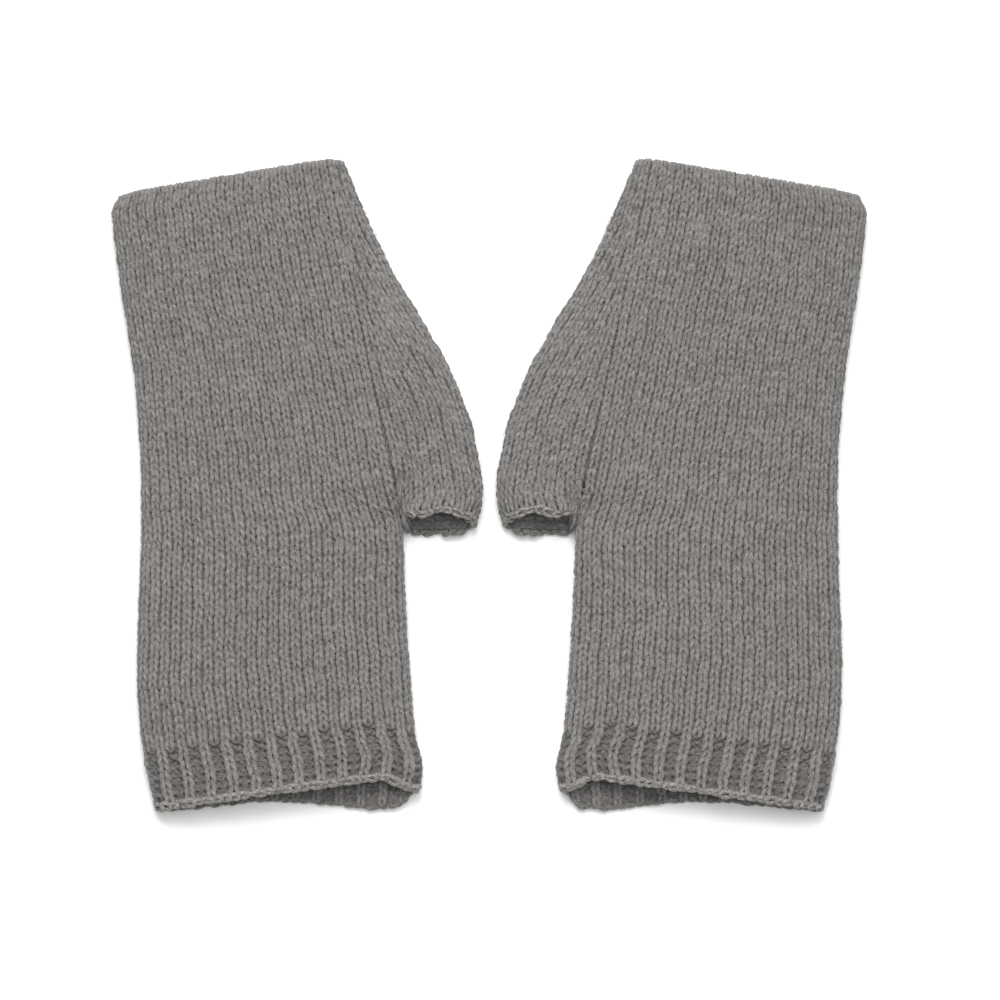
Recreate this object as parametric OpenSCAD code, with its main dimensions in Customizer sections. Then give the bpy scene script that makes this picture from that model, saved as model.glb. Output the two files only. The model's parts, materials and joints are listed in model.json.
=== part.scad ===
// A pair of hand-knitted fingerless gloves, laid flat side by side.
// X runs across the pair, +Y runs from the finger end to the wrist end, and +Z is up from the table.
// The origin is on the table at the middle of the pair. The right glove mirrors the left one.

/* [Glove] */
// Overall length, from the finger end to the wrist end
glove_length = 221; // [190:1:250]
// Width of the laid hand below the thumb
hand_width = 90; // [80:1:104]
// Height of the laid glove above the table
lay_height = 15; // [14:0.5:22]
// Height of the side folds above the table
fold_height = 5; // [4.5:0.5:8]
// Thickness of the knitted fabric
fabric = 2.6; // [2:0.1:3]

/* [Bands and edges] */
// Depth of the ribbed band at the finger end
rib_depth = 14; // [8:1:30]
// Depth of the hem turned in at the wrist end
hem_depth = 13; // [8:1:15]
// Thickness of the turned-in hem
hem_thickness = 1.6; // [1:0.1:2]
// Depth of the bound-off edges
bind_off_depth = 2.8; // [2:0.1:4]

/* [Sewing] */
// Radius of the sewing yarn
yarn_radius = 0.8; // [0.6:0.05:1]
// Number of slip stitches on each layer of the wrist hem
hem_stitch_count = 9; // [5:1:12]

/* [Thumb fold] */
// Gap along the line where the thumb gusset folds on the hand
fold_gap = 0.8; // [0.6:0.1:1.2]

/* [Hidden] */

KNIT_GREY = [0.49, 0.48, 0.47];
EDGE_GREY = [0.58, 0.57, 0.55];
SEAM_GREY = [0.42, 0.41, 0.40];

// Outline of the left glove at its nominal size, as [y, x] points from the wrist down to the finger end.
NOMINAL_LENGTH = 221;
NOMINAL_WIDTH = 90;
LITTLE_FINGER_EDGE = [[104, -127.5], [92, -128.6], [66, -125.5], [40, -121.5], [10, -119], [-20, -118.8],
    [-66, -120], [-90, -118], [-112, -113]];
THUMB_EDGE = [[118, -51.5], [109, -49], [97, -44], [71, -31.8], [46, -16.8], [25, -7.8], [5, -2.8],
    [-6, -1.6], [-20, -3.5]];
HAND_EDGE = [[0, -30], [-20, -29], [-40, -28.2], [-70, -26.4], [-92, -24.6], [-101, -22.6], [-112, -24]];
// Ends of the line where the gusset folds on the hand, as [x, y].
FOLD_TOP = [-52, 92];
CROTCH = [-29.3, -14];
WRIST_LEFT_Y = 99;
WRIST_RIGHT_Y = 110.5;
RIB_Y = -91;
FINGER_END_Y = -110.5;
// The thumb's mouth leans: its lower layer reaches further than its upper one.
THUMB_MOUTH_Y = -17;
THUMB_MOUTH_LEAN = 8;
// How far the upper layer is drawn back at the thumb side of the finger end.
FINGER_MOUTH_LIFT = 8.5;

HAND_STEPS = 28;
GUSSET_STEPS = 16;
TUBE_SIDES = 8;
DOME_POWER = 0.42;
BELLY_POWER = 0.28;
// The gusset's own two edges stay this share pinched at most, so that they never meet.
GUSSET_PINCH = 0.94;

kx = hand_width / NOMINAL_WIDTH;
ky = glove_length / NOMINAL_LENGTH;
fold_slope = (CROTCH[0] - FOLD_TOP[0]) / (FOLD_TOP[1] - CROTCH[1]);

function mix(a, b, t) = a * (1 - t) + b * t;
function clamp01(t) = min(1, max(0, t));
function smooth(t) = clamp01(t) ^ 2 * (3 - 2 * clamp01(t));

// x of a smooth curve through [y, x] points at one y. The y values fall along the list.
function slope(points, i) = let (a = points[max(0, i - 1)], b = points[min(len(points) - 1, i + 1)])
    (b[1] - a[1]) / (b[0] - a[0]);
function span_at(points, y) = min([for (i = [0:len(points) - 2])
    if (y >= points[i + 1][0] || i == len(points) - 2) i]);
function edge_x(points, y) = let (i = span_at(points, y), p = points[i], q = points[i + 1], h = q[0] - p[0],
    t = clamp01((y - p[0]) / h))
    (2 * t ^ 3 - 3 * t ^ 2 + 1) * p[1] + (3 * t ^ 2 - 2 * t ^ 3) * q[1]
    + (t ^ 3 - 2 * t ^ 2 + t) * h * slope(points, i) + (t ^ 3 - t ^ 2) * h * slope(points, i + 1);
function fold_x(y) = FOLD_TOP[0] + fold_slope * (FOLD_TOP[1] - y);

// Rounded rise across a strip: 0 at its sides and 1 in the middle.
function bulge(share, power) = (4 * clamp01(share) * (1 - clamp01(share))) ^ power;
// How far hand and thumb are pinched apart along the fold line: 0 at the hem and 1 at the crotch.
function pinch(y) = smooth((FOLD_TOP[1] - y) / (FOLD_TOP[1] - CROTCH[1]));
// Height of one layer. The lower layer lies flat on the table along its middle.
function height_at(rise, wall, upper) = upper
    ? fold_height + (lay_height - wall - fold_height) * rise
    : fold_height - (fold_height - wall) * min(1, 1.1 * rise);

// Points across the hand, from the fold line along the lower layer to the little-finger side and back on top.
// at = [y at the little-finger side, y at the fold line, y at the thumb side]. mouth is 1 at the finger end.
function hand_points(at, wall, mouth = 0) = let (
    v = pinch(at[1]),
    left = edge_x(LITTLE_FINGER_EDGE, at[0]) + wall,
    end = (at[1] > CROTCH[1] ? fold_x(at[1]) : edge_x(HAND_EDGE, at[1])) - wall * v,
    right = edge_x(THUMB_EDGE, at[2]) - wall)
    [for (i = [0:HAND_STEPS]) let (
        upper = i > HAND_STEPS / 2,
        share = (1 + cos(360 * i / HAND_STEPS)) / 2,
        x = mix(left, end, share),
        power = upper ? DOME_POWER : BELLY_POWER,
        rise = mix(bulge((x - left) / (right - left), power), bulge(share, power), v),
        z = height_at(rise, wall, upper),
        drawn = mouth * FINGER_MOUTH_LIFT * share ^ 1.5 * clamp01(z / lay_height + 0.1))
        [x * kx, (mix(at[0], at[1], share) + drawn) * ky, z]];

// Points across the gusset, from the fold line along the upper layer to the thumb side and back below.
// lean is how far the upper layer is drawn back at this station.
function gusset_points(at, wall, gap, lean = 0) = let (
    v = GUSSET_PINCH * pinch(at[1]),
    left = edge_x(LITTLE_FINGER_EDGE, at[0]) + wall,
    start = fold_x(at[1]) + gap + wall * v,
    right = edge_x(THUMB_EDGE, at[2]) - wall)
    [for (i = [0:GUSSET_STEPS]) let (
        upper = i < GUSSET_STEPS / 2,
        share = (1 - cos(360 * i / GUSSET_STEPS)) / 2,
        x = mix(start, right, share),
        power = upper ? DOME_POWER : BELLY_POWER,
        rise = mix(bulge((x - left) / (right - left), power), bulge(share, power), v),
        z = height_at(rise, wall, upper))
        [x * kx, (mix(at[1], at[2], share) + lean * z / lay_height) * ky, z]];

// Whole ring round the wrist, where hand and gusset are one tube.
function wrist_points(at, wall) = concat(hand_points(at, wall),
    [for (i = [1:GUSSET_STEPS - 1]) gusset_points(at, wall, 0)[i]]);

// The [y, y, y] of a station in the hem zone: 0 at the wrist edge and 1 where the fold line starts.
function hem_at(t) = [mix(WRIST_LEFT_Y, FOLD_TOP[1] - 8, t), mix(WRIST_RIGHT_Y - 1, FOLD_TOP[1], t),
    mix(WRIST_RIGHT_Y, FOLD_TOP[1] + 9 * fold_slope, t)];
// The [y, y, y] of a station along the fold line: 0 at its top and 1 at the crotch.
function fold_at(t) = [mix(FOLD_TOP[1] - 8, CROTCH[1], t), mix(FOLD_TOP[1], CROTCH[1], t),
    mix(FOLD_TOP[1] + 9 * fold_slope, CROTCH[1], t)];
function thumb_at(t) = let (a = fold_at(0))
    [mix(a[0], CROTCH[1], t), mix(a[1] - fold_gap, THUMB_MOUTH_Y, t), mix(a[2] - fold_gap, THUMB_MOUTH_Y, t)];

// Solid wall between two grids of points, outer and inner, each grid[station][column].
// ring joins the last column to the first; otherwise the wall ends in two long edges.
module wall_between(outer, inner, ring) {
    m = len(outer);
    n = len(outer[0]);
    last = ring ? n - 1 : n - 2;
    o = function (j, i) j * n + i % n;
    q = function (j, i) m * n + j * n + i % n;
    faces = concat(
        [for (j = [0:m - 2]) for (i = [0:last]) each [
            [o(j, i), o(j + 1, i), o(j + 1, i + 1)], [o(j, i), o(j + 1, i + 1), o(j, i + 1)],
            [q(j, i), q(j + 1, i + 1), q(j + 1, i)], [q(j, i), q(j, i + 1), q(j + 1, i + 1)]]],
        [for (i = [0:last]) each [
            [o(0, i), o(0, i + 1), q(0, i + 1)], [o(0, i), q(0, i + 1), q(0, i)],
            [o(m - 1, i), q(m - 1, i + 1), o(m - 1, i + 1)], [o(m - 1, i), q(m - 1, i), q(m - 1, i + 1)]]],
        ring ? [] : [for (j = [0:m - 2]) each [
            [o(j, 0), q(j, 0), q(j + 1, 0)], [o(j, 0), q(j + 1, 0), o(j + 1, 0)],
            [o(j, n - 1), q(j + 1, n - 1), q(j, n - 1)], [o(j, n - 1), o(j + 1, n - 1), q(j + 1, n - 1)]]]);
    polyhedron(concat([for (r = outer) each r], [for (r = inner) each r]), faces, convexity = 8);
}

// The hand tube: a whole ring at the wrist, open beside the gusset, and a whole ring again below the crotch.
HEM_STATIONS = 3;
FOLD_STATIONS = 13;
PALM_STATIONS = 5;

function palm_y(t) = mix(CROTCH[1], RIB_Y, t);

module hand_tube() {
    hem = HEM_STATIONS;
    crotch = HEM_STATIONS + FOLD_STATIONS;
    stations = crotch + PALM_STATIONS;
    n = HAND_STEPS;
    width = HAND_STEPS + GUSSET_STEPS;
    row = function (j, wall) j <= hem ? wrist_points(hem_at(j / hem), wall)
        : let (t = (j - hem) / FOLD_STATIONS, y = palm_y((j - crotch) / PALM_STATIONS),
            points = hand_points(j <= crotch ? fold_at(t) : [y, y, y], wall))
            concat(points, [for (i = [n + 1:width - 1]) points[0]]);
    grid = [for (wall = [0, fabric]) [for (j = [0:stations]) row(j, wall)]];
    // At and below the crotch the two long edges share the points of the first column.
    place = function (layer, j, i) (layer * (stations + 1) + j) * width
        + (i == width || (i == n && j >= crotch) ? 0 : i);
    o = function (j, i) place(0, j, i);
    q = function (j, i) place(1, j, i);
    cells = concat([for (j = [0:stations - 1]) for (i = [0:n - 1]) [j, i]],
        [for (j = [0:hem - 1]) for (i = [n:width - 1]) [j, i]]);
    ends = concat([for (i = [0:width - 1]) each [
            [o(0, i), o(0, i + 1), q(0, i + 1)], [o(0, i), q(0, i + 1), q(0, i)]]],
        [for (i = [n:width - 1]) each [
            [o(hem, i), q(hem, i + 1), o(hem, i + 1)], [o(hem, i), q(hem, i), q(hem, i + 1)]]],
        [for (i = [0:n - 1]) each [[o(stations, i), q(stations, i + 1), o(stations, i + 1)],
            [o(stations, i), q(stations, i), q(stations, i + 1)]]]);
    edges = [for (j = [hem:crotch - 1]) each [
        [o(j, 0), q(j, 0), q(j + 1, 0)], [o(j, 0), q(j + 1, 0), o(j + 1, 0)],
        [o(j, n), q(j + 1, n), q(j, n)], [o(j, n), o(j + 1, n), q(j + 1, n)]]];
    faces = concat([for (c = cells) let (j = c[0], i = c[1]) each [
        [o(j, i), o(j + 1, i), o(j + 1, i + 1)], [o(j, i), o(j + 1, i + 1), o(j, i + 1)],
        [q(j, i), q(j + 1, i + 1), q(j + 1, i)], [q(j, i), q(j, i + 1), q(j + 1, i + 1)]]], ends, edges);
    color(KNIT_GREY)
        polyhedron([for (layer = grid) for (r = layer) each r], faces, convexity = 8);
}

module wrist_hem_facing() {
    clearance = 0.15;
    depth = hem_depth / (WRIST_RIGHT_Y - FOLD_TOP[1]);
    rows = function (wall) [for (j = [0:2]) wrist_points(hem_at(depth * j / 2), wall)];
    color(KNIT_GREY)
        wall_between(rows(fabric + clearance), rows(fabric + clearance + hem_thickness), true);
}

// A ring of the finger end between two shares of the rib band's depth.
module finger_ring(from, to, steps) {
    rows = function (wall) [for (j = [0:steps]) let (t = mix(from, to, j / steps), y = mix(RIB_Y, FINGER_END_Y, t),
        points = hand_points([y, y, y], wall, t)) [for (i = [0:HAND_STEPS - 1]) points[i]]];
    wall_between(rows(0), rows(fabric), true);
}

edge_share = 1 - bind_off_depth / (RIB_Y - FINGER_END_Y);

module finger_rib_band() {
    color(KNIT_GREY) finger_ring(0, edge_share, 3);
}

module finger_bind_off() {
    color(EDGE_GREY) finger_ring(edge_share, 1, 1);
}

// A stretch of the gusset's wall between two shares of its length, open towards the hand.
module gusset_wall(from, to, steps) {
    rows = function (wall) [for (j = [0:steps]) let (t = mix(from, to, j / steps))
        gusset_points(thumb_at(t), wall, fold_gap, THUMB_MOUTH_LEAN * smooth(1 - 4 * (1 - t)))];
    wall_between(rows(0), rows(fabric), false);
}

thumb_edge_share = 1 - bind_off_depth / (FOLD_TOP[1] - THUMB_MOUTH_Y);

module thumb_gusset() {
    color(KNIT_GREY) gusset_wall(0, thumb_edge_share, 13);
}

module thumb_bind_off() {
    color(EDGE_GREY) gusset_wall(thumb_edge_share, 1, 1);
}

// Round yarn swept along a path of points, closed at both ends.
module yarn(path, radius) {
    n = len(path);
    s = TUBE_SIDES;
    ahead = function (i) let (d = path[min(n - 1, i + 1)] - path[max(0, i - 1)]) d / norm(d);
    ring = function (i) let (t = ahead(i), u0 = cross(t, [0, 0, 1]),
        u = norm(u0) < 0.01 ? [1, 0, 0] : u0 / norm(u0), v = cross(u, t))
        [for (k = [0:s - 1]) path[i] + radius * (cos(360 * k / s) * u + sin(360 * k / s) * v)];
    sides = [for (j = [0:n - 2]) for (i = [0:s - 1]) let (k = (i + 1) % s)
        each [[j * s + i, (j + 1) * s + k, j * s + k], [j * s + i, (j + 1) * s + i, (j + 1) * s + k]]];
    ends = [for (i = [0:s - 1]) let (k = (i + 1) % s, e = (n - 1) * s)
        each [[n * s, i, k], [n * s + 1, e + k, e + i]]];
    polyhedron(concat([for (i = [0:n - 1]) each ring(i)], [path[0], path[n - 1]]), concat(sides, ends),
        convexity = 4);
}

// Ladder of sewing yarn just inside a side fold, between two heights along the glove.
module seam(edge, from_y, to_y, steps) {
    inset = fabric + yarn_radius + 1.2;
    yarn([for (i = [0:steps]) let (y = mix(from_y, to_y, i / steps))
        [(edge_x(edge, y) - inset) * kx, y * ky, fold_height + 0.8 + 0.3 * (i % 2)]], yarn_radius);
}

module hand_side_seam() {
    color(SEAM_GREY) seam(HAND_EDGE, CROTCH[1] - 5, RIB_Y - 8, 14);
}

module gusset_seam() {
    color(SEAM_GREY) seam(THUMB_EDGE, 72, -8, 16);
}

// Slip stitches just below the turned-in hem, laid against the inside of both layers.
module wrist_hem_stitches() {
    at = hem_at((hem_depth + 2.2) / (WRIST_RIGHT_Y - FOLD_TOP[1]));
    ring = hand_points(at, fabric + yarn_radius * 0.6 + 0.5);
    color(SEAM_GREY) for (k = [0:hem_stitch_count - 1]) for (upper = [0, 1]) {
        middle = ring[upper == 0 ? 3 + k : HAND_STEPS - 3 - k];
        yarn([middle + [-1.4, -1, 0], middle, middle + [1.4, 1, 0]], yarn_radius * 0.6);
    }
}

// Reinforcing stitches wrapped round the outside of the hand's fold just below the thumb.
module thumb_crotch_stitches() {
    color(SEAM_GREY) for (k = [0:2]) {
        y = CROTCH[1] - 5.5 - 2.2 * k;
        x = edge_x(HAND_EDGE, y);
        yarn([for (a = [-60:30:60])
            [(x - 2.4) * kx + (2.7 + yarn_radius * 0.8) * cos(a), (y + 0.4 * sin(a)) * ky, fold_height + 4.2 * sin(a)]],
            yarn_radius * 0.8);
    }
}

// Fastened-off end of the gusset's yarn at the outer corner of the thumb's mouth.
module thumb_seam_knot() {
    y = THUMB_MOUTH_Y + 9;
    x = edge_x(THUMB_EDGE, y) - fabric - 4.2;
    color(EDGE_GREY) yarn([for (a = [0:40:320])
        [x * kx + 1.3 * cos(a), y * ky + 1.3 * sin(a), fold_height - 1 + 2.4 * a / 320]], yarn_radius);
}

// Yarn end run back and forth on the inner face of the lower layer, near the finger end.
module woven_in_yarn_end() {
    color(SEAM_GREY) yarn([for (i = [0:14])
        [(-98 + 2.6 * i) * kx, (RIB_Y + 7) * ky + 1.3 * cos(180 * i), fabric + yarn_radius + 0.3]], yarn_radius);
}

// The left glove is drawn where it lies, and the right one is its mirror image.
module left() {
    children();
}

module right() {
    mirror([1, 0, 0]) children();
}

left() hand_tube();  // left_hand_tube
left() wrist_hem_facing();  // left_wrist_hem_facing
left() wrist_hem_stitches();  // left_wrist_hem_stitches
left() finger_rib_band();  // left_finger_rib_band
left() finger_bind_off();  // left_finger_bind_off
left() hand_side_seam();  // left_hand_side_seam
left() thumb_crotch_stitches();  // left_thumb_crotch_stitches
left() woven_in_yarn_end();  // left_woven_in_yarn_end
left() thumb_gusset();  // left_thumb_gusset
left() thumb_bind_off();  // left_thumb_bind_off
left() gusset_seam();  // left_gusset_seam
left() thumb_seam_knot();  // left_thumb_seam_knot
right() hand_tube();  // right_hand_tube
right() wrist_hem_facing();  // right_wrist_hem_facing
right() wrist_hem_stitches();  // right_wrist_hem_stitches
right() finger_rib_band();  // right_finger_rib_band
right() finger_bind_off();  // right_finger_bind_off
right() hand_side_seam();  // right_hand_side_seam
right() thumb_crotch_stitches();  // right_thumb_crotch_stitches
right() woven_in_yarn_end();  // right_woven_in_yarn_end
right() thumb_gusset();  // right_thumb_gusset
right() thumb_bind_off();  // right_thumb_bind_off
right() gusset_seam();  // right_gusset_seam
right() thumb_seam_knot();  // right_thumb_seam_knot
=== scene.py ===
import json
import math

import bpy
import numpy as np
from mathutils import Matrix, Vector


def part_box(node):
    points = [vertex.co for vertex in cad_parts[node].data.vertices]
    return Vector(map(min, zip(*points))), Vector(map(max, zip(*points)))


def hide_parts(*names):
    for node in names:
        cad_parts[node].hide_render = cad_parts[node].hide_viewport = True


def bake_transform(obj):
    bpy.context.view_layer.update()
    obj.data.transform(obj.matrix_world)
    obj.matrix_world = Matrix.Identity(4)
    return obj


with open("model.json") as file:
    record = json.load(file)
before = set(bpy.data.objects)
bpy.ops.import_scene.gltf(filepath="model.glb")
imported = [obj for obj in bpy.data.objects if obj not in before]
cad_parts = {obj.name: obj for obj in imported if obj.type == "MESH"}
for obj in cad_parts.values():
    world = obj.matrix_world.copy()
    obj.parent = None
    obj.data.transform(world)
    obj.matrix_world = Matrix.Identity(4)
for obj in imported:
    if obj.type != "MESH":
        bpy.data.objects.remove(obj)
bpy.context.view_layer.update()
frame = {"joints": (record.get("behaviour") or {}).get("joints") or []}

# ------------------------------------------------------------------ the laid glove, in millimetres
# The design's own outline, as [y, x] from the wrist down, as in the CAD source.
LITTLE_FINGER_EDGE = np.array([[104, -127.5], [92, -128.6], [66, -125.5], [40, -121.5], [10, -119],
                               [-20, -118.8], [-66, -120], [-90, -118], [-112, -113]], float)
THUMB_EDGE = np.array([[118, -51.5], [109, -49], [97, -44], [71, -31.8], [46, -16.8], [25, -7.8], [5, -2.8],
                       [-6, -1.6], [-20, -3.5]], float)
HAND_EDGE = np.array([[0, -30], [-20, -29], [-40, -28.2], [-70, -26.4], [-92, -24.6], [-101, -22.6],
                      [-112, -24]], float)
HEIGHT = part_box("left_hand_tube")[1].z * 1000
EDGE_REACH = 2.3        # how far stitches and hem fold stand past the ends of the fabric's middle
END_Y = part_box("left_finger_bind_off")[0].y * 1000 + EDGE_REACH
WRIST_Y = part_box("left_hand_tube")[1].y * 1000 - EDGE_REACH
LENGTH = WRIST_Y - END_Y
FOLD_TOP, CROTCH = (-52.0, 92.0), (-29.3, -14.0)    # ends of the line between hand and gusset
V_CROTCH = (WRIST_Y - CROTCH[1]) / LENGTH
PINCH_FROM = 3.0        # y where the gusset and the hand start to part above the crotch
WRIST_DROP = 11.9       # how much lower the wrist edge is at the little-finger side
WRIST_ROUNDING = 1.6    # of the wrist corner at that side
SIDE_Z = 5.0            # height of the side folds
MID = 1.8               # depth of the fabric's middle below its outer face
SIDE_INSET = 1.4        # the same at the side folds, seen from above
SIDE_POWER = 0.42       # roundness of the upper layer's side folds
OUTER_POWER = 0.72      # the same at the gusset's outer fold, which is flatter
BELLY_POWER = 0.28      # roundness of the lower layer's side folds

# how far the edges stand back from the straight end of the rows
FINGER_EDGE_BACK = 9.9      # the upper layer at the finger end
FINGER_CORNER_LESS = 4.3    # how much less it is at the thumb-side corner
LOWER_EDGE_BACK = 2.6       # the lower layer at the finger end
CORNER_BACK = 5.6           # the thumb-side fold at the finger end
THUMB_EDGE_BACK = 6.6       # the upper layer at the thumb's mouth
THUMB_WAVE = 1.1            # height of the slack wave in that edge
THUMB_CURL = 2.4            # how far the lower layer curls up inside the thumb's mouth

ROWS = 78
RIB_ROWS = 7
HEM_ROWS = 7
HEM_RADIUS = 1.35       # of the fold at the wrist
WALES = 50              # stitches round the hand
THUMB_WALE = 3.45       # width of one stitch of the gusset
YARN = 0.86             # radius
STITCH_REACH = 2.45     # how far one stitch reaches along the rows, either way
KNIT_RISE, PURL_DEPTH = 0.35, 1.65      # of the rib's columns
FUZZ_HAND, FUZZ_THUMB = 8000, 2000      # loose fibre ends on one glove


def mix(a, b, t):
    return a * (1 - t) + b * t


def smooth(t):
    t = np.clip(t, 0, 1)
    return t * t * (3 - 2 * t)


def edge_x(points, y):
    """x of the smooth edge through [y, x] points at y."""
    p = points[::-1]
    slope = np.empty(len(p))
    slope[1:-1] = (p[2:, 1] - p[:-2, 1]) / (p[2:, 0] - p[:-2, 0])
    slope[0] = (p[1, 1] - p[0, 1]) / (p[1, 0] - p[0, 0])
    slope[-1] = (p[-1, 1] - p[-2, 1]) / (p[-1, 0] - p[-2, 0])
    y = np.clip(y, p[0, 0], p[-1, 0])
    i = np.clip(np.searchsorted(p[:, 0], y) - 1, 0, len(p) - 2)
    h = p[i + 1, 0] - p[i, 0]
    t = (y - p[i, 0]) / h
    return ((2 * t ** 3 - 3 * t ** 2 + 1) * p[i, 1] + (3 * t ** 2 - 2 * t ** 3) * p[i + 1, 1]
            + (t ** 3 - 2 * t ** 2 + t) * h * slope[i] + (t ** 3 - t ** 2) * h * slope[i + 1])


def fold_x(y):
    return FOLD_TOP[0] + (CROTCH[0] - FOLD_TOP[0]) * (FOLD_TOP[1] - y) / (FOLD_TOP[1] - CROTCH[1])


def bulge(share, power):
    share = np.clip(share, 0, 1)
    return (4 * share * (1 - share)) ** power


def height_at(rise_up, rise_down, upper):
    return np.where(upper, SIDE_Z + (HEIGHT - MID - SIDE_Z) * rise_up,
                    SIDE_Z - (SIDE_Z - MID) * np.minimum(1, 1.1 * rise_down))


def stations(v):
    """What every point at a row position v shares. v is 0 at the wrist edge and 1 at the finger end."""
    y_right = WRIST_Y - v * LENGTH
    y_left = mix(WRIST_Y - WRIST_DROP, END_Y - 1.0, v)
    pinch = np.where(v < V_CROTCH, smooth((PINCH_FROM - y_right) / (PINCH_FROM - CROTCH[1])), 1.0)
    left = edge_x(LITTLE_FINGER_EDGE, y_left) + SIDE_INSET
    right = edge_x(THUMB_EDGE, y_right) - SIDE_INSET + 0.5 * np.exp(-((y_right - 27) / 22) ** 2)
    end = np.where(v < V_CROTCH, fold_x(y_right), edge_x(HAND_EDGE, y_right))
    return y_left, y_right, pinch, left, right, end


def ripple(x, y):
    """Slow unevenness of the laid fabric, about half a millimetre high."""
    return (0.28 * np.sin(x * 0.11 + 1.3 * np.sin(y * 0.043)) * np.cos(y * 0.067 + 0.6)
            + 0.22 * np.sin(x * 0.23 - y * 0.051 + 2.0) + 0.16 * np.cos(x * 0.05 + y * 0.19))


def hand_section(v, phi):
    """The closed line round the hand at row position v, from the fold line below to the fold line above."""
    y_left, y_right, pinch, left, right, end = stations(v)
    end = end - SIDE_INSET * pinch - 0.3 * smooth((v - 0.965) / 0.035)
    share = (1 + np.cos(phi)) / 2
    upper = phi > math.pi
    x = mix(left, end, share)
    whole = (x - left) / (right - left)
    # the wrist corner on the little-finger side is rounded in plan
    x = x + WRIST_ROUNDING * smooth((0.02 - v) / 0.02) * smooth((0.12 - share) / 0.12)
    soft = mix(SIDE_POWER, OUTER_POWER, smooth((whole - 0.7) / 0.3))
    rise_up = mix(bulge(whole, soft), bulge(share, SIDE_POWER), pinch)
    rise_down = mix(bulge(whole, BELLY_POWER), bulge(share, BELLY_POWER), pinch)
    z = height_at(rise_up, rise_down, upper)
    # towards the finger end the two layers stand back by different amounts, which opens the mouth
    ramp = smooth((v - V_CROTCH) / (1 - V_CROTCH)) ** 1.5
    front = smooth((z - 1.2) / 6.0)
    flat = np.clip(share / 0.86, 0, 1)
    over = FINGER_EDGE_BACK * flat ** 0.9 - FINGER_CORNER_LESS * smooth((share - 0.86) / 0.14)
    under = LOWER_EDGE_BACK * np.sin(math.pi * flat) ** 2 - 1.0 * smooth((share - 0.7) / 0.16)
    under = mix(under, CORNER_BACK, smooth((share - 0.93) / 0.07))
    y = mix(y_left, y_right, share) + ramp * mix(under, over, front)
    z = z + np.where(upper, 1, 0) * smooth((z - SIDE_Z) / 6) * ripple(x, y)
    return np.stack([x, y, z], -1)


def thumb_section(v, psi):
    """The closed line round the gusset at row position v, from the fold line above to the one below."""
    y_left, y_right, pinch, left, right, end = stations(v)
    pinch = pinch * 0.97
    start = end + 0.1 + SIDE_INSET * pinch
    late = v / V_CROTCH
    right = right - 0.7 * smooth((late - 0.86) / 0.1) - 1.5 * smooth((late - 0.96) / 0.04)
    share = (1 - np.cos(psi)) / 2
    upper = psi < math.pi
    x = mix(start, right, share)
    whole = (x - left) / (right - left)
    soft = mix(SIDE_POWER, OUTER_POWER, smooth((whole - 0.7) / 0.3))
    rise_up = mix(bulge(whole, soft), bulge(share, mix(0.34, 0.6, smooth(share))), pinch)
    rise_down = mix(bulge(whole, BELLY_POWER), bulge(share, BELLY_POWER), pinch)
    z = height_at(rise_up, rise_down, upper)
    # at the mouth the lower layer curls up towards the outer side
    curl = smooth((share - 0.35) / 0.35) * smooth((0.98 - share) / 0.2) * smooth((late - 0.88) / 0.12)
    z = z + np.where(upper, 0, 1) * THUMB_CURL * curl
    # the upper layer ends short of the lower one, with a slack wave in its edge
    lean = smooth((late - 0.5) / 0.5) * smooth(share / 0.035)
    front = smooth((z - 3.5) / 5.5)
    wave = THUMB_WAVE * np.sin(2 * math.pi * (share - 0.36) / 0.82)
    wave = wave * smooth(share / 0.3) * smooth((late - 0.8) / 0.2)
    under = 2.6 * smooth((share - 0.84) / 0.16)
    y = y_right + lean * (-1.4 + (THUMB_EDGE_BACK + wave) * front + under * (1 - front))
    z = z + np.where(upper, 1, 0) * smooth((z - SIDE_Z) / 6) * ripple(x, y)
    return np.stack([x, y, z], -1)


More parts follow.
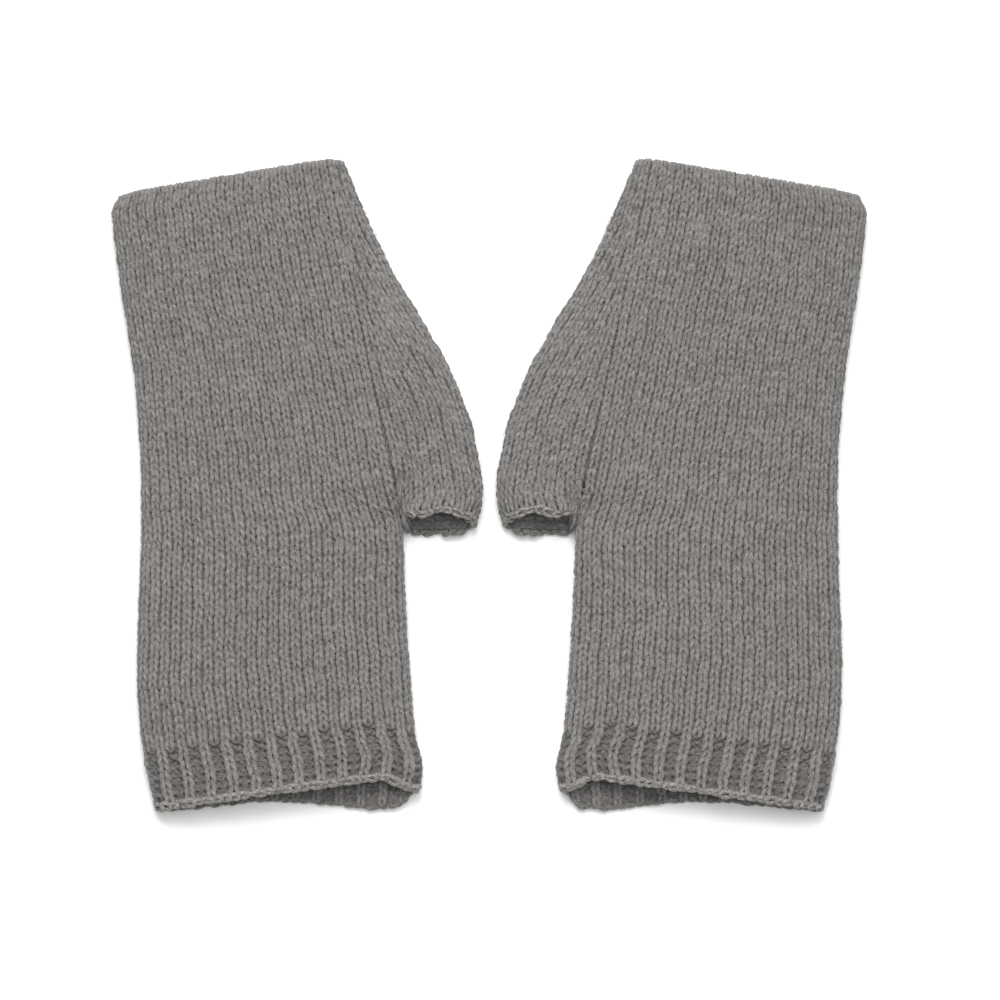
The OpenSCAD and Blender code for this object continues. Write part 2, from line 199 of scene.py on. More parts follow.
class Surface:
    """A table of a section swept along the rows, even in arc length, with its outward normals."""

    def __init__(self, section, v_last, centre_at_fold):
        self.vs = np.linspace(0, v_last, 141)
        fine = np.linspace(0, 2 * math.pi, 721)
        raw = section(self.vs[:, None], fine[None, :])
        step = np.linalg.norm(np.diff(raw[:, :, ::2], axis=1), axis=2)
        run = np.concatenate([np.zeros((len(self.vs), 1)), np.cumsum(step, axis=1)], axis=1)
        self.length = run[:, -1]
        self.n = 321
        even = np.linspace(0, 1, self.n)
        self.p = np.empty((len(self.vs), self.n, 3))
        for j in range(len(self.vs)):
            for k in range(3):
                self.p[j, :, k] = np.interp(even * self.length[j], run[j], raw[j, :, k])
        self.fold = np.array([run[j][360] for j in range(len(self.vs))])
        along = np.gradient(self.p, axis=1)
        down = np.gradient(self.p, axis=0)
        normal = np.cross(along, down)
        normal /= np.linalg.norm(normal, axis=2, keepdims=True) + 1e-9
        if centre_at_fold:
            outward = normal[:, 40, 2]
        else:
            outward = normal[:, 280, 2]
        self.normal = normal * np.sign(outward)[:, None, None]

    def _take(self, table, s, v):
        a = np.clip(v / self.vs[-1], 0, 1) * (len(self.vs) - 1)
        b = np.clip(s, 0, 1) * (self.n - 1)
        i = np.minimum(a.astype(int), len(self.vs) - 2)
        j = np.minimum(b.astype(int), self.n - 2)
        a, b = (a - i)[..., None], (b - j)[..., None]
        return ((1 - a) * (1 - b) * table[i, j] + a * (1 - b) * table[i + 1, j]
                + (1 - a) * b * table[i, j + 1] + a * b * table[i + 1, j + 1])

    def at(self, s, v, n=0.0):
        """Points and outward normals at s round the section, v along the rows and n out of the middle.
        Before v = 0 the fabric turns inwards over the hem's fold and runs back inside."""
        s, v, n = np.broadcast_arrays(np.asarray(s, float), np.asarray(v, float), np.asarray(n, float))
        past = np.maximum(0, -v) * LENGTH
        turn = np.clip(past / HEM_RADIUS, 0, math.pi)[..., None]
        inside = np.maximum(0, past - math.pi * HEM_RADIUS) / LENGTH
        where = np.where(v < 0, inside, v)
        point, out = self._take(self.p, s, where), self._take(self.normal, s, where)
        out = out / np.linalg.norm(out, axis=-1, keepdims=True)
        away = np.array([0.0, 1.0, 0.0])
        face = np.cos(turn) * out + np.sin(turn) * away
        point = point - HEM_RADIUS * out * (v < 0)[..., None] + HEM_RADIUS * face * (v < 0)[..., None]
        # beyond the last row the fabric runs straight on
        over = np.maximum(0, v - self.vs[-1]) * LENGTH
        point = point - over[..., None] * away
        return point + n[..., None] * face, face

    def around(self, v):
        return np.interp(np.clip(v, 0, self.vs[-1]), self.vs, self.length)

    def fold_at(self, v):
        return np.interp(np.clip(v, 0, self.vs[-1]), self.vs, self.fold)


HAND = Surface(hand_section, 1.0, False)
THUMB = Surface(thumb_section, V_CROTCH, True)


# ------------------------------------------------------------------ yarn
STEPS = 14          # points of one stitch
SIDES = 6


class Yarns:
    """Collects round yarns as one mesh. Each yarn has its points, a guide normal, a radius and a level, which
    is the height of the yarn's middle over the middle of the fabric. The level only sets the painted shade
    and highlight in the wool's colour."""

    def __init__(self):
        self.verts, self.faces, self.uv, self.strip, self.height = [], [], [], [], []
        self.count = 0

    def add(self, path, guide, radius, level=0.5, closed=False, sides=SIDES):
        path, guide = np.asarray(path, float), np.asarray(guide, float)
        radius = np.broadcast_to(np.asarray(radius, float), (len(path),))
        # nothing sinks into the table
        path = path.copy()
        path[:, 2] = np.maximum(path[:, 2], radius + 0.02)
        if closed:
            ahead = np.roll(path, -1, 0) - np.roll(path, 1, 0)
        else:
            ahead = np.gradient(path, axis=0)
        ahead /= np.linalg.norm(ahead, axis=1, keepdims=True) + 1e-9
        side = np.cross(ahead, guide)
        side /= np.linalg.norm(side, axis=1, keepdims=True) + 1e-9
        up = np.cross(side, ahead)
        angle = np.arange(sides) * 2 * math.pi / sides
        ring = (np.cos(angle)[None, :, None] * up[:, None] + np.sin(angle)[None, :, None] * side[:, None])
        verts = path[:, None] + ring * radius[:, None, None]
        n = len(path)
        rows = n if closed else n - 1
        i = np.arange(rows)[:, None]
        k = np.arange(sides)[None, :]
        a, b = i * sides + k, i * sides + (k + 1) % sides
        c, d = ((i + 1) % n) * sides + (k + 1) % sides, ((i + 1) % n) * sides + k
        quads = np.stack([a, b, c, d], -1).reshape(-1, 4) + self.count
        run = np.concatenate([[0], np.cumsum(np.linalg.norm(np.diff(path, axis=0), axis=1))])
        last = run[-1] + (np.linalg.norm(path[0] - path[-1]) if closed else 0)
        run = np.append(run, last)
        u0, u1 = run[i], run[i + 1]
        one = np.ones_like(i * k, float)
        corners = ((u0, k), (u0, k + 1), (u1, k + 1), (u1, k))
        uv = np.stack([np.stack([u * one, one * turn / sides], -1) for u, turn in corners], 2)
        self.verts.append(verts.reshape(-1, 3))
        level = np.broadcast_to(np.asarray(level, float), (n,))
        self.height.append((level[:, None] + np.cos(angle)[None, :] * radius[:, None]).ravel())
        self.faces.append(quads)
        self.uv.append(uv.reshape(-1, 2))
        self.strip.append((len(quads), last))
        self.count += n * sides

    def build(self, name, material, mirrored=False):
        verts = np.concatenate(self.verts) * 0.001
        faces = np.concatenate(self.faces)
        uv = np.concatenate(self.uv)
        strips = len(self.strip)
        number = np.repeat(np.arange(strips), [s[0] * 4 for s in self.strip])
        longest = max(s[1] for s in self.strip)
        bake = np.stack([uv[:, 0] / longest, (number + 0.04 + 0.92 * uv[:, 1]) / strips], -1)
        if mirrored:
            verts = verts * [-1, 1, 1]
        else:
            faces = faces[:, ::-1]
            order = np.arange(len(uv)).reshape(-1, 4)[:, ::-1].reshape(-1)
            uv, bake = uv[order], bake[order]
        mesh = bpy.data.meshes.new(name)
        mesh.vertices.add(len(verts))
        mesh.vertices.foreach_set("co", verts.astype(np.float32).ravel())
        mesh.loops.add(faces.size)
        mesh.loops.foreach_set("vertex_index", faces.astype(np.int32).ravel())
        mesh.polygons.add(len(faces))
        mesh.polygons.foreach_set("loop_start", np.arange(0, faces.size, 4, dtype=np.int32))
        mesh.polygons.foreach_set("use_smooth", np.ones(len(faces), bool))
        mesh.uv_layers.new(name="OFBake").data.foreach_set("uv", bake.astype(np.float32).ravel())
        uv[:, 0] += 37.0 * number
        mesh.uv_layers.new(name="strand").data.foreach_set("uv", uv.astype(np.float32).ravel())
        # the 'height' attribute only feeds the painted shade and highlight in the wool material
        height = mesh.attributes.new("height", "FLOAT", "POINT")
        height.data.foreach_set("value", np.concatenate(self.height).astype(np.float32))
        mesh.update()
        mesh.validate()
        mesh.materials.append(material)
        obj = bpy.data.objects.new(name, mesh)
        bpy.context.scene.collection.objects.link(obj)
        return obj


T = np.arange(STEPS) * 2 * math.pi / STEPS


def loop_shape(knit):
    """One stitch: shares of its own width across, and millimetres along the rows and out of the fabric."""
    across = T / (2 * math.pi) + 0.163 * np.sin(2 * T) + 0.03 * np.sin(T)
    along = -STITCH_REACH * np.cos(T)
    out = 0.5 * np.tanh(-1.8 * np.cos(2 * T)) / math.tanh(1.8) - 0.26 * np.cos(T)
    return across, along, out if knit else -out


def thumb_cells(v, side):
    """Wale boundaries from the fold line to the thumb's fold on one layer, as shares of the section."""
    total, fold = THUMB.around(v), THUMB.fold_at(v)
    room = fold if side == "front" else total - fold
    count = max(1, int(room / THUMB_WALE + 0.5))
    marks = np.arange(count + 1) * THUMB_WALE
    if count >= 3:
        last = (room - marks[-4]) / 3
        marks[-3:] = marks[-4] + last * np.array([1, 2, 3])
    else:
        marks = np.linspace(0, room, count + 1)
    if side == "front":
        return (fold - marks[::-1]) / total
    return (fold + marks) / total


def wander(s, v):
    """Slow sideways drift of the wales, in millimetres."""
    return (0.2 * np.sin(v * 31 + 9 * s) + 0.15 * np.sin(v * 67 - 23 * s + 1.7)
            + 0.1 * np.sin(v * 113 + 41 * s + 0.4))


def stitch(surface, s0, s1, v_row, knit, depth, rng):
    """Points, outward normals, radii and levels of one stitch between two shares of the section."""
    across, along, n = loop_shape(knit)
    width = (s1 - s0) * surface.around(v_row)
    jit = rng.normal(0, 1, 6)
    s = s0 + (s1 - s0) * (across + 0.032 * jit[0])
    s = s + wander(s0, v_row) * smooth(s / 0.04) * smooth((1 - s) / 0.04) / surface.around(v_row)
    v = v_row + (along * (1 + 0.04 * jit[1]) + 0.2 * jit[2]) / LENGTH
    n = n * (1 + 0.08 * jit[3])
    p, f = surface.at(s, v, n + depth + 0.1 * jit[5])
    radius = YARN * (0.5 + 0.5 * width / 3.6) * (1 + 0.07 * jit[4]) * (1 if knit else 1.04)
    # purl stitches get a level below their own, so the wool's painted shade makes them darker in the rib's
    # recesses
    return p, f, np.full(STEPS, radius), n if knit else 0.35 * n - 0.45


def hand_course(r, rng):
    """The round of yarn across the hand, from the fold line on the lower layer to the one on the upper."""
    v_row = (r + 0.5) / ROWS
    rib = float(np.clip((r - (ROWS - RIB_ROWS) + 1) / 2, 0, 1))
    # the bound-off edge holds the last rows of the purl columns level with the knit ones
    slack = min(1.0, 0.3 + 0.4 * (ROWS - 1 - r))
    parts = []
    for k in range(WALES):
        knit = not (rib and k % 2)
        depth = rib * (KNIT_RISE if knit else -PURL_DEPTH * slack)
        narrow = 0.07 * rib * (-1 if knit else 1)
        parts.append(stitch(HAND, (k + narrow) / WALES, (k + 1 - narrow) / WALES, v_row, knit, depth, rng))
    return [np.concatenate(x) for x in zip(*parts)]


def thumb_course(r, rng):
    """The same round of yarn across the gusset, from the fold line above to the one below."""
    v_row = (r + 0.5) / ROWS
    curl = float(smooth((v_row / V_CROTCH - 0.95) / 0.05)) * 0.7
    parts = []
    for side in ("front", "back"):
        marks = thumb_cells(v_row, side)
        for a, b in zip(marks[:-1], marks[1:]):
            parts.append(stitch(THUMB, a, b, v_row, True, curl, rng))
    return [np.concatenate(x) for x in zip(*parts)]


def has_thumb(r):
    return (r + 0.5) / ROWS < V_CROTCH - 0.25 / ROWS


def chain(yarns, path, normal, beyond, pitch, half, radius, rng, free=0.0):
    """A bound-off chain along a closed edge: each stitch is a teardrop loop through the one before.
    The first and last free millimetres of the edge have none: there the edge is sewn down instead."""
    run = np.concatenate([[0], np.cumsum(np.linalg.norm(np.diff(path, axis=0), axis=1))])
    count = max(8, round(run[-1] / pitch))
    step = run[-1] / count
    turn = np.linspace(0, 2 * math.pi, 14, endpoint=False)
    for k in range(count):
        jit = rng.normal(0, 1, 4)
        if min(k + 0.5, count - k - 0.5) * step < free:
            continue
        at = k * step + step * (0.12 + 0.7 * (1 - np.cos(turn)) * (1 + 0.12 * jit[0]))
        widen = 0.5 + 0.5 * (1 - np.cos(turn)) / 2
        across = half * (0.22 * jit[3] + (1 + 0.2 * jit[1])) * np.sin(turn) * widen
        up = -0.62 * np.cos(turn) + 0.14 * jit[2]
        at = at % run[-1]
        base = np.stack([np.interp(at, run, path[:, i]) for i in range(3)], -1)
        out = np.stack([np.interp(at, run, normal[:, i]) for i in range(3)], -1)
        out /= np.linalg.norm(out, axis=1, keepdims=True)
        far = np.stack([np.interp(at, run, beyond[:, i]) for i in range(3)], -1)
        loop = base + across[:, None] * far + up[:, None] * out
        yarns.add(loop, out, radius * (1 + 0.06 * jit[3]), level=0.9, closed=True)


def edge_ring(surface, v, past, lift, tip):
    """A closed path along an edge: points, the way the chain faces, and the way across it."""
    s = np.linspace(0, 1, 241)
    point, out = surface.at(s, np.full_like(s, v), np.zeros_like(s))
    away = np.array([0.0, -1.0, 0.0])
    face = math.cos(tip) * out + math.sin(tip) * away
    across = -math.sin(tip) * out + math.cos(tip) * away
    return point + lift * out + past * away, face, across


# ------------------------------------------------------------------ materials
def wool(name, base, spread=0.55):
    """Heathered plied wool: light and dark fibres along the yarn, plies as bump, soft cloudy patches, and
    painted shade and highlight set by the yarn's height in the fabric.
    """
    mat = bpy.data.materials.new(name)
    mat.use_nodes = True
    nt = mat.node_tree
    nt.nodes.clear()
    out = nt.nodes.new("ShaderNodeOutputMaterial")
    bsdf = nt.nodes.new("ShaderNodeBsdfPrincipled")
    nt.links.new(bsdf.outputs[0], out.inputs[0])
    bsdf.inputs["Roughness"].default_value = 0.92
    bsdf.inputs["Specular IOR Level"].default_value = 0.18
    bsdf.inputs["Sheen Weight"].default_value = 0.25
    bsdf.inputs["Sheen Roughness"].default_value = 0.5
    bsdf.inputs["Sheen Tint"].default_value = (0.9, 0.88, 0.86, 1)

    def node(kind, **values):
        n = nt.nodes.new(kind)
        for key, value in values.items():
            if key in n.inputs:
                n.inputs[key].default_value = value
            else:
                setattr(n, key, value)
        return n

    def math_node(op, a, b=None, c=None):
        n = node("ShaderNodeMath", operation=op)
        for i, x in enumerate((a, b, c)):
            if x is None:
                continue
            if isinstance(x, (int, float)):
                n.inputs[i].default_value = x
            else:
                nt.links.new(x, n.inputs[i])
        return n.outputs[0]

    uv = node("ShaderNodeUVMap", uv_map="strand")
    place = node("ShaderNodeTexCoord")
    # fibres: noise drawn out along the yarn
    stretch = node("ShaderNodeMapping")
    stretch.inputs["Scale"].default_value = (0.55, 6.0, 1.0)
    nt.links.new(uv.outputs[0], stretch.inputs[0])
    fibre = node("ShaderNodeTexNoise", Scale=1.0, Detail=5.0, Roughness=0.7)
    nt.links.new(stretch.outputs[0], fibre.inputs["Vector"])
    fleck = node("ShaderNodeTexNoise", Scale=1500.0, Detail=3.0, Roughness=0.65)
    nt.links.new(place.outputs["Object"], fleck.inputs["Vector"])
    cloud = node("ShaderNodeTexNoise", Scale=38.0, Detail=3.0, Roughness=0.55)
    nt.links.new(place.outputs["Object"], cloud.inputs["Vector"])
    tone = math_node("MULTIPLY_ADD", math_node("SUBTRACT", fibre.outputs[0], 0.5), 2.2 * spread, 1.0)
    tone = math_node("MULTIPLY_ADD", math_node("SUBTRACT", fleck.outputs[0], 0.5), 2.6 * spread, tone)
    tone = math_node("MULTIPLY_ADD", math_node("SUBTRACT", cloud.outputs[0], 0.5), 0.22 * spread, tone)
    # painted shade and highlight: the colour is darkened where the yarn lies deep in the fabric, between the
    # stitches and on the yarn's flanks, and lightened on the tops of the loops
    height = node("ShaderNodeAttribute", attribute_name="height")
    shade = node("ShaderNodeMapRange", interpolation_type="SMOOTHSTEP")
    for key, value in (("From Min", 0.45), ("From Max", 1.4), ("To Min", 0.8), ("To Max", 1.14)):
        shade.inputs[key].default_value = value
    nt.links.new(math_node("ABSOLUTE", height.outputs["Fac"]), shade.inputs["Value"])
    tone = math_node("MULTIPLY", tone, shade.outputs[0])
    colour = node("ShaderNodeVectorMath", operation="SCALE")
    colour.inputs[0].default_value = base
    nt.links.new(tone, colour.inputs["Scale"])
    nt.links.new(colour.outputs[0], bsdf.inputs["Base Color"])
    # plies: three rounded ridges that wind round the yarn
    split = node("ShaderNodeSeparateXYZ")
    nt.links.new(uv.outputs[0], split.inputs[0])
    phase = math_node("ADD", math_node("MULTIPLY", split.outputs[0], 2.4),
                      math_node("MULTIPLY", split.outputs[1], 18.85))
    ply = math_node("ABSOLUTE", math_node("SINE", math_node("MULTIPLY", phase, 0.5)))
    high = math_node("ADD", math_node("MULTIPLY", ply, 0.8), math_node("MULTIPLY", fibre.outputs[0], 0.9))
    bump = node("ShaderNodeBump")
    bump.inputs["Strength"].default_value = 0.8
    bump.inputs["Distance"].default_value = 0.0004
    nt.links.new(high, bump.inputs["Height"])
    nt.links.new(bump.outputs[0], bsdf.inputs["Normal"])
    return mat


def matted(name, base):
    """The haze of matted fibres that fills the spaces between stitches, in a grey darker than the yarn's:
    painted shade in those gaps.
    """
    mat = bpy.data.materials.new(name)
    mat.use_nodes = True
    nt = mat.node_tree
    bsdf = nt.nodes["Principled BSDF"]
    bsdf.inputs["Roughness"].default_value = 1.0
    bsdf.inputs["Specular IOR Level"].default_value = 0.1
    bsdf.inputs["Sheen Weight"].default_value = 0.2
    place = nt.nodes.new("ShaderNodeTexCoord")
    noise = nt.nodes.new("ShaderNodeTexNoise")
    noise.inputs["Scale"].default_value = 900.0
    noise.inputs["Detail"].default_value = 4.0
    nt.links.new(place.outputs["Object"], noise.inputs["Vector"])
    tone = nt.nodes.new("ShaderNodeMapRange")
    tone.inputs["From Min"].default_value, tone.inputs["From Max"].default_value = 0.3, 0.7
    tone.inputs["To Min"].default_value, tone.inputs["To Max"].default_value = 0.6, 1.4
    nt.links.new(noise.outputs[0], tone.inputs["Value"])
    colour = nt.nodes.new("ShaderNodeVectorMath")
    colour.operation = "SCALE"
    colour.inputs[0].default_value = base
    nt.links.new(tone.outputs[0], colour.inputs["Scale"])
    nt.links.new(colour.outputs[0], bsdf.inputs["Base Color"])
    bump = nt.nodes.new("ShaderNodeBump")
    bump.inputs["Strength"].default_value = 0.7
    bump.inputs["Distance"].default_value = 0.0003
    nt.links.new(noise.outputs[0], bump.inputs["Height"])
    nt.links.new(bump.outputs[0], bsdf.inputs["Normal"])
    return mat


# the matted layer's base, darker than the yarn's, is painted shade between the stitches
MATTED_SHADE = matted("wool_matted_shade", (0.135, 0.129, 0.125))
GREY = wool("wool_grey", (0.177, 0.1695, 0.1635), 0.65)
EDGE = wool("wool_edge", (0.212, 0.204, 0.189), 1.0)
SEAM = wool("wool_seam", (0.165, 0.158, 0.153))
FUZZ = wool("wool_fuzz", (0.31, 0.3, 0.29), 0.2)

# ------------------------------------------------------------------ the knitted pieces
HAND_BLOCKS = {"hem_facing_knit": (-HEM_ROWS, 0), "hand_knit_wrist": (0, 18), "hand_knit_thumb": (18, 36),
               "hand_knit_palm": (36, 54), "hand_knit_fingers": (54, ROWS - RIB_ROWS),
               "rib_band_knit": (ROWS - RIB_ROWS, ROWS)}
STANDS_FOR = {"hem_facing_knit": "wrist_hem_facing",
              "hand_knit_wrist": "hand_tube",
              "hand_knit_thumb": "hand_tube",
              "hand_knit_palm": "hand_tube",
              "hand_knit_fingers": "hand_tube",
              "rib_band_knit": "finger_rib_band",
              "gusset_knit": "thumb_gusset",
              "loose_fibres": "hand_tube",
              "matted_shade_fibres": "hand_tube",
              "finger_edge_chain": "finger_bind_off",
              "thumb_edge_chain": "thumb_bind_off",
              "side_seam_yarn": "hand_side_seam",
              "gusset_seam_yarn": "gusset_seam",
              "hem_slip_stitches": "wrist_hem_stitches",
              "crotch_stitches": "thumb_crotch_stitches",
              "thumb_corner_knot": "thumb_seam_knot",
              "woven_in_end": "woven_in_yarn_end"}


def zigzag(edge, y0, y1, inset, steps, z):
    """Mattress stitches just inside a side fold."""
    y = np.linspace(y0, y1, steps)
    i = np.arange(steps)
    x = edge_x(edge, y) - inset + np.where(i % 4 < 2, 0.5, -0.5)
    return np.stack([x, y, z + 0.9 * np.where((i + 1) % 4 < 2, 1, -1)], -1)


def rounded(path):
    """The same path with its corners cut, twice."""
    for _ in range(2):
        cut = [0.75 * path[:-1] + 0.25 * path[1:], 0.25 * path[:-1] + 0.75 * path[1:]]
        path = np.concatenate([path[:1], np.stack(cut, 1).reshape(-1, 3), path[-1:]])
    return path


def guide(path, way=(0.1, 0.2, 1.0)):
    """The same guide normal for every point of a path."""
    return np.tile(np.array(way) / np.linalg.norm(way), (len(path), 1))


def knit_glove(side):
    """Makes all pieces of one glove. The right glove is the left one mirrored, with its own random draws."""
    mirrored = side == "right"
    rng = np.random.default_rng(11 if mirrored else 5)
    made = {}
    gusset = Yarns()
    for name, (first, last) in HAND_BLOCKS.items():
        yarns = Yarns()
        for r in range(first, last):
            hand = hand_course(r, rng)
            if has_thumb(r):
                thumb = thumb_course(r, rng)
                # each end runs on a little into its neighbour, so that the round stays unbroken
                yarns.add(*[np.concatenate([t[-2:], h, t[:2]]) for h, t in zip(hand, thumb)])
                home = gusset if r >= 0 else yarns
                home.add(*[np.concatenate([h[-1:], t, h[:1]]) for h, t in zip(hand, thumb)])
            else:
                yarns.add(*hand, closed=True)
        made[name] = yarns.build(f"{side}_{name}", GREY, mirrored)
    made["gusset_knit"] = gusset.build(f"{side}_gusset_knit", GREY, mirrored)

    yarns = Yarns()
    path, face, across = edge_ring(HAND, 1.0, past=0.7, lift=0.5, tip=0.55)
    chain(yarns, path, face, across, pitch=3.0, half=1.05, radius=0.8, rng=rng)
    made["finger_edge_chain"] = yarns.build(f"{side}_finger_edge_chain", EDGE, mirrored)
    yarns = Yarns()
    path, face, across = edge_ring(THUMB, V_CROTCH, past=0.7, lift=0.8, tip=0.5)
    chain(yarns, path, face, across, pitch=3.3, half=1.1, radius=0.64, rng=rng, free=5.5)
    made["thumb_edge_chain"] = yarns.build(f"{side}_thumb_edge_chain", EDGE, mirrored)

    yarns = Yarns()
    p = rounded(zigzag(HAND_EDGE, y0=CROTCH[1] - 5, y1=-99, inset=5.2, steps=64, z=SIDE_Z + 0.6))
    yarns.add(p, guide(p), 0.6)
    made["side_seam_yarn"] = yarns.build(f"{side}_side_seam_yarn", SEAM, mirrored)
    yarns = Yarns()
    p = rounded(zigzag(THUMB_EDGE, y0=72, y1=-6, inset=5.6, steps=60, z=SIDE_Z + 0.8))
    yarns.add(p, guide(p), 0.6)
    made["gusset_seam_yarn"] = yarns.build(f"{side}_gusset_seam_yarn", SEAM, mirrored)

    # slip stitches: slanting bars over the end of the turned-in hem, joined by short runs
    yarns = Yarns()
    v_hem = -(HEM_ROWS - 0.1) / ROWS
    for k in range(WALES // 2):
        s = (2 * k + 1) / WALES
        t = np.linspace(0, 1, 9)
        p, f = HAND.at(s + (t - 0.5) * 0.016, v_hem - (t - 0.35) * 2.4 / LENGTH,
                       0.95 * np.sin(math.pi * t) - 0.35)
        yarns.add(p, f, 0.5 * (1 + 0.06 * rng.normal()))
    made["hem_slip_stitches"] = yarns.build(f"{side}_hem_slip_stitches", SEAM, mirrored)

    # short stitches that close the hole where hand and gusset part
    yarns = Yarns()
    for k in range(3):
        t = np.linspace(0, 1, 9)
        turned = np.where(t < 0.5, 1.0 - 0.05 * (1 - 2 * t), 0.05 * (2 * t - 1))
        p, f = HAND.at(turned % 1.0, V_CROTCH + (2.2 + 2.4 * k + 1.2 * t) / LENGTH, 0.55)
        yarns.add(p, f, 0.5)
    made["crotch_stitches"] = yarns.build(f"{side}_crotch_stitches", GREY, mirrored)

    # the fastened-off end at the thumb's outer corner: about two turns, one on the other
    yarns = Yarns()
    a = np.linspace(0, 4.2 * math.pi, 46)
    corner, out = THUMB.at(THUMB.fold_at(V_CROTCH) / THUMB.around(V_CROTCH), V_CROTCH, 0.0)
    r = 1.15 - 0.05 * a / math.pi
    p = corner + np.stack([-0.9 + r * np.cos(a), 0.6 + r * np.sin(a), -0.6 + 0.32 * a], -1)
    yarns.add(p, guide(p, (1, 0.3, 0.1)), 0.62)
    made["thumb_corner_knot"] = yarns.build(f"{side}_thumb_corner_knot", EDGE, mirrored)

    # the yarn end that runs in and out along the inner face of the lower layer
    yarns = Yarns()
    t = np.linspace(0, 1, 57)
    s_end = 0.30 - 0.16 * t
    p, f = HAND.at(s_end, 0.936 + 0.004 * np.sin(t * 60), -1.25 - 0.3 * np.cos(t * 60))
    yarns.add(p, -f, 0.6)
    made["woven_in_end"] = yarns.build(f"{side}_woven_in_end", SEAM, mirrored)
    made["matted_shade_fibres"] = haze(side, mirrored)
    made["loose_fibres"] = fuzz(side, mirrored)
    return made


def haze(side, mirrored):
    """A thin layer of matted fibres inside the fabric, so that no light falls through between stitches. Its
    grey, darker than the yarn's, is painted shade between the stitches and in the rib's recesses.
    """
    rng = np.random.default_rng(41 if mirrored else 37)
    verts, faces, bake = [], [], []
    count = 0
    parts = ((HAND, 1 + 0.9 / LENGTH, 301), (THUMB, V_CROTCH, 60))
    for part, (surface, last, across) in enumerate(parts):
        s, v = np.linspace(0, 1, across), np.linspace(0, last, int(130 * last))
        grid_s, grid_v = np.meshgrid(s, v)
        # it dips with the purl columns of the rib, between the rib's first row and the bound-off edge
        purl = smooth(0.5 - 1.2 * np.cos(math.pi * (grid_s * WALES - 0.5))) * (surface is HAND)
        dip = 0.7 * purl * smooth((grid_v * ROWS - (ROWS - RIB_ROWS)) / 1.2)
        dip = dip * smooth((1 - grid_v) * ROWS / 2)
        layers = [surface.at(grid_s, grid_v, n - dip + 0.06 * rng.normal(size=grid_s.shape))[0]
                  for n in (-0.25, -0.6)]
        rows, cols = grid_s.shape
        i, j = np.meshgrid(np.arange(rows - 1), np.arange(cols - 1), indexing="ij")
        a = (i * cols + j).ravel()
        quad = np.stack([a, a + 1, a + cols + 1, a + cols], -1)
        rim = np.concatenate([np.arange(cols), (np.arange(1, rows) + 1) * cols - 1,
                              (rows - 1) * cols + np.arange(cols - 2, -1, -1),
                              np.arange(rows - 2, 0, -1) * cols])
        ahead = np.roll(rim, -1)
        size = rows * cols
        wall = np.stack([rim, rim + size, ahead + size, ahead], -1)
        flat = np.stack([grid_s, grid_v], -1).reshape(-1, 2) * [0.44, 0.48] + [0.01 + 0.5 * part, 0.01]
        place = np.concatenate([flat, flat + [0, 0.5]])
        every = np.concatenate([quad, quad[:, ::-1] + size, wall])
        verts += [x.reshape(-1, 3) for x in layers]
        faces.append(every + count)
        bake.append(place[every])
        count += 2 * size
    verts = np.concatenate(verts) * 0.001 * ([-1, 1, 1] if mirrored else [1, 1, 1])
    faces, bake = np.concatenate(faces), np.concatenate(bake)
    if not mirrored:
        faces, bake = faces[:, ::-1], bake[:, ::-1]
    mesh = bpy.data.meshes.new(f"{side}_matted_shade_fibres")
    mesh.from_pydata(verts.tolist(), [], faces.tolist())
    mesh.uv_layers.new(name="OFBake").data.foreach_set("uv", bake.astype(np.float32).ravel())
    mesh.shade_smooth()
    mesh.materials.append(MATTED_SHADE)
    obj = bpy.data.objects.new(mesh.name, mesh)
    bpy.context.scene.collection.objects.link(obj)
    return obj


def fuzz(side, mirrored):
    """Loose fibre ends that lie on and just above the knitting."""
    rng = np.random.default_rng(29 if mirrored else 23)
    yarns = Yarns()
    t = np.linspace(0, 1, 4)
    for surface, count, last in ((HAND, FUZZ_HAND, 1.0), (THUMB, FUZZ_THUMB, V_CROTCH)):
        for _ in range(count):
            s, v, way, bend, length, rise = rng.random(6)
            way, length = 2 * math.pi * way, 1.4 + 2.8 * length
            turn = way + (bend - 0.5) * 3.2 * t
            x = np.cumsum(np.cos(turn)) * length / 4 / surface.around(v * last)
            y = np.cumsum(np.sin(turn)) * length / 4 / LENGTH
            n = 1.1 + 0.6 * rise * np.sin(math.pi * (0.15 + 0.75 * t)) ** 2
            p, f = surface.at(s + x, np.clip(v * last + y, 0.001, last), n)
            yarns.add(p, f, 0.055 * (1.1 - 0.8 * t), level=1.3, sides=3)
    return yarns.build(f"{side}_loose_fibres", FUZZ, mirrored)


FOLD_REACH = 0.009      # metres either side of the hinge line


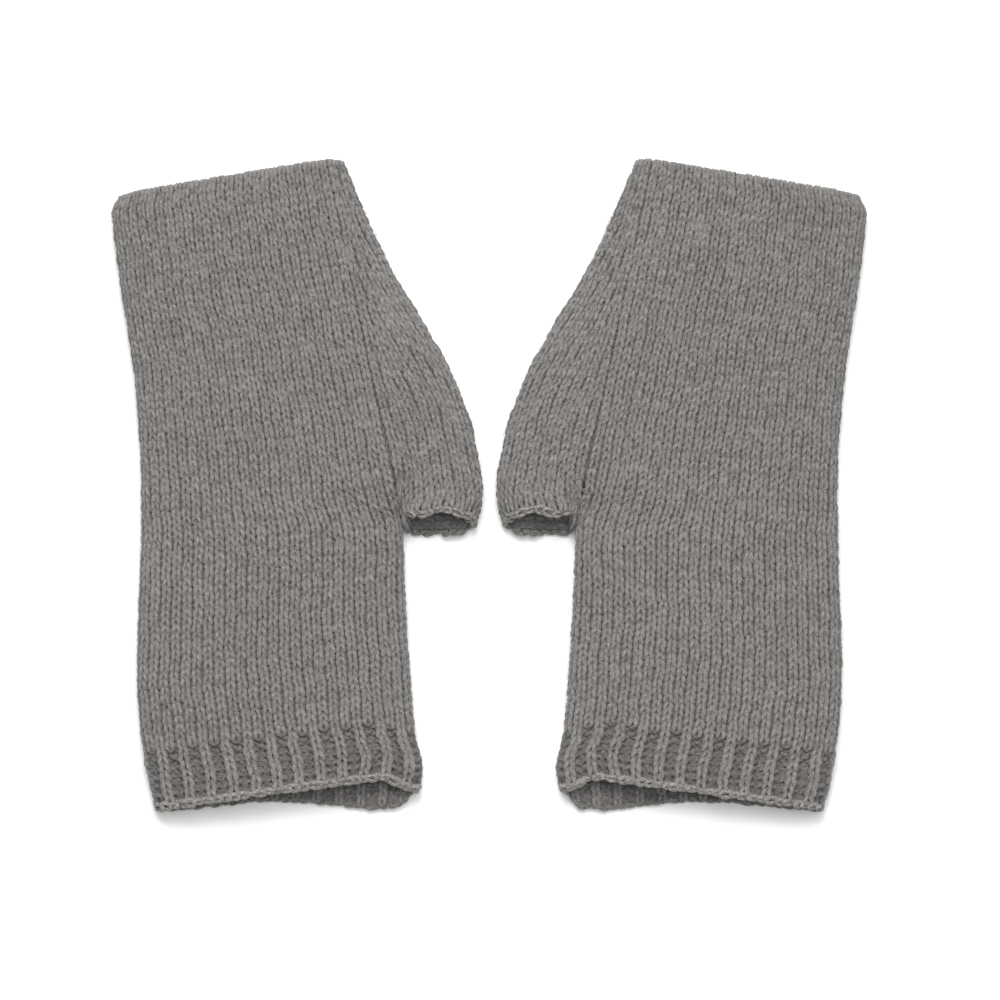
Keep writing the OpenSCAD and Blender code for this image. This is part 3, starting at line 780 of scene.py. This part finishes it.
def axis_planes(side):
    """Points either way of the hinge line where the fabric would start and end turning with the thumb.
    Nothing here makes it turn.
    """
    joint = next(j for j in frame["joints"] if j["name"] == f"{side}_thumb_fold")
    at, along = Vector(joint["pos_m"]), Vector(joint["axis"])
    along.z = 0
    along.normalize()
    out = Vector((-along.y, along.x, 0))
    if (out.x > 0) == (side == "right"):
        out = -out
    at.z = 0
    return at - out * FOLD_REACH, at + out * FOLD_REACH


for side in ("left", "right"):
    start, end = axis_planes(side)
    for name, obj in knit_glove(side).items():
        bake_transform(obj)
        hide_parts(f"{side}_{STANDS_FOR[name]}")


# ------------------------------------------------------------------ floor, light and camera
def floor_material():
    mat = bpy.data.materials.new("pale_floor")
    mat.use_nodes = True
    b = mat.node_tree.nodes["Principled BSDF"]
    b.inputs["Base Color"].default_value = (0.93, 0.93, 0.93, 1)
    b.inputs["Roughness"].default_value = 0.9
    return mat


bpy.ops.mesh.primitive_plane_add(size=8, location=(0, 0, -0.0002))
floor = bpy.context.object
floor.name = "floor"
floor.data.materials.append(floor_material())

world = bpy.data.worlds.new("studio")
bpy.context.scene.world = world
world.use_nodes = True
world.node_tree.nodes["Background"].inputs[0].default_value = (1, 1, 1, 1)
world.node_tree.nodes["Background"].inputs[1].default_value = 0.52
bpy.context.scene.view_settings.view_transform = "Standard"


def area(name, where, towards, size, power):
    data = bpy.data.lights.new(name, "AREA")
    data.shape, data.size, data.energy = "DISK", size, power
    lamp = bpy.data.objects.new(name, data)
    lamp.location = where
    lamp.rotation_euler = (Vector(towards) - Vector(where)).to_track_quat("-Z", "Y").to_euler()
    bpy.context.scene.collection.objects.link(lamp)


area("key", (-0.2, 1.3, 1.9), (0, 0, 0), 1.2, 42)
area("top", (0.3, 0.5, 2.2), (0, 0, 0), 1.3, 22)

camera = bpy.data.cameras.new("camera")
camera.lens = 264
camera.sensor_width = 36
view = bpy.data.objects.new("camera", camera)
view.location = (0.0036, -0.0054, 2.5)
bpy.context.scene.collection.objects.link(view)
bpy.context.scene.camera = view
